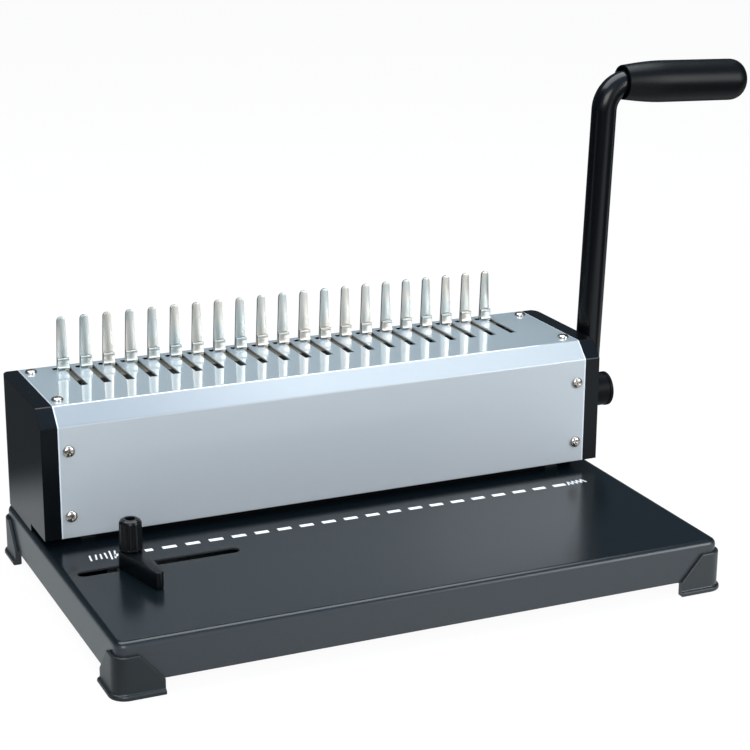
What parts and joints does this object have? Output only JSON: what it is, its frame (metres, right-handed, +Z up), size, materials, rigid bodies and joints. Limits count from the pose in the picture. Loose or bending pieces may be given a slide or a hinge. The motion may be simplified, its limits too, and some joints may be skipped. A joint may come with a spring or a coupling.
{
  "type": "comb binding machine",
  "caption": "Desktop comb binding machine: hand-lever paper punch and comb opener on a flat steel base with corner feet, edge guide and chip drawer.",
  "frame": {"origin": "on the floor, under the middle of the overall box with the handle upright; the middle of the base is 57.5 mm to the left of it", "axes": "+X to the operator's right along the shaft, +Y away from the operator, +Z up"},
  "size_m": [0.4892, 0.2322, 0.2846],
  "materials": {
    "black_paint": "satin black powder coat",
    "black_plastic": "moulded black plastic, fine texture",
    "grip_plastic": "soft matte black moulding",
    "silver_paint": "glossy silver lacquer on sheet steel",
    "bright_nickel": "bright nickel plate",
    "zinc_plate": "zinc plated steel",
    "tool_steel": "ground steel",
    "bush_brass": "machined"
  },
  "bodies": {
    "machine_body": {"base_tray": "black_paint", "bottom_plate": "black_paint", "foot_front_left": "black_plastic", "foot_front_right": "black_plastic", "foot_rear_left": "black_plastic", "foot_rear_right": "black_plastic", "foot_screws": "zinc_plate", "drawer_runners": "zinc_plate", "die_plate": "tool_steel", "die_spacers": "tool_steel", "paper_stop": "tool_steel", "punch_guide_plate": "tool_steel", "side_frame_left": "tool_steel", "side_frame_right": "tool_steel", "frame_screws": "zinc_plate", "shaft_bush_left": "bush_brass", "shaft_bush_right": "bush_brass", "upper_rail": "tool_steel", "guide_posts": "zinc_plate", "return_spring_left": "zinc_plate", "return_spring_right": "zinc_plate", "slide_rails": "zinc_plate", "finger_bar": "tool_steel", "comb_fingers": "bright_nickel", "top_cover": "silver_paint", "rear_cover": "black_paint", "end_cap_left": "black_plastic", "end_cap_right": "black_plastic", "cover_screws": "bright_nickel"},
    "handle": {"drive_shaft": "zinc_plate", "punch_pinion_left": "tool_steel", "punch_pinion_right": "tool_steel", "opener_pinion_left": "tool_steel", "opener_pinion_right": "tool_steel", "handle_hub": "black_paint", "handle_arm": "black_paint", "handle_grip": "grip_plastic", "hub_plug": "black_plastic"},
    "punch": {"punch_bar": "tool_steel", "punch_pins": "tool_steel", "punch_rack_left": "tool_steel", "punch_rack_right": "tool_steel"},
    "opener": {"opener_plate": "bright_nickel", "opener_hooks": "bright_nickel", "opener_rack_left": "tool_steel", "opener_rack_right": "tool_steel"},
    "edge_guide": {"edge_guide": "black_plastic", "guide_nut": "zinc_plate"},
    "guide_knob": {"guide_knob": "black_plastic", "guide_stud": "zinc_plate"},
    "chip_drawer": {"chip_drawer": "black_plastic"}
  },
  "joints": [
    {"name": "handle_turn", "type": "hinge", "parent": "machine_body", "child": "handle", "pos_m": [-0.05747, 0.0636, 0.07], "axis": [1, 0, 0], "range_deg": [0, 75]},
    {"name": "punch_slide", "type": "slide", "parent": "machine_body", "child": "punch", "axis": [0, 0, -1], "range_m": [0, 0.0131], "stiffness_N_per_m": 1000, "springref_m": -0.02, "deforming": ["return_spring_left", "return_spring_right"]},
    {"name": "opener_slide", "type": "slide", "parent": "machine_body", "child": "opener", "axis": [0, -1, 0], "range_m": [0, 0.0279]},
    {"name": "edge_guide_slide", "type": "slide", "parent": "machine_body", "child": "edge_guide", "axis": [1, 0, 0], "range_m": [-0.0215, 0.055]},
    {"name": "clamp_knob_turn", "type": "hinge", "parent": "edge_guide", "child": "guide_knob", "pos_m": [-0.20157, -0.0147, 0.05], "axis": [0, 0, 1], "range_deg": [0, 270]},
    {"name": "drawer_slide", "type": "slide", "parent": "machine_body", "child": "chip_drawer", "axis": [1, 0, 0], "range_m": [0, 0.3]}
  ],
  "couplings": [
    {"joint": "punch_slide", "follows": "handle_turn", "m_per_rad": 0.01},
    {"joint": "opener_slide", "follows": "handle_turn", "m_per_rad": 0.02125}
  ]
}
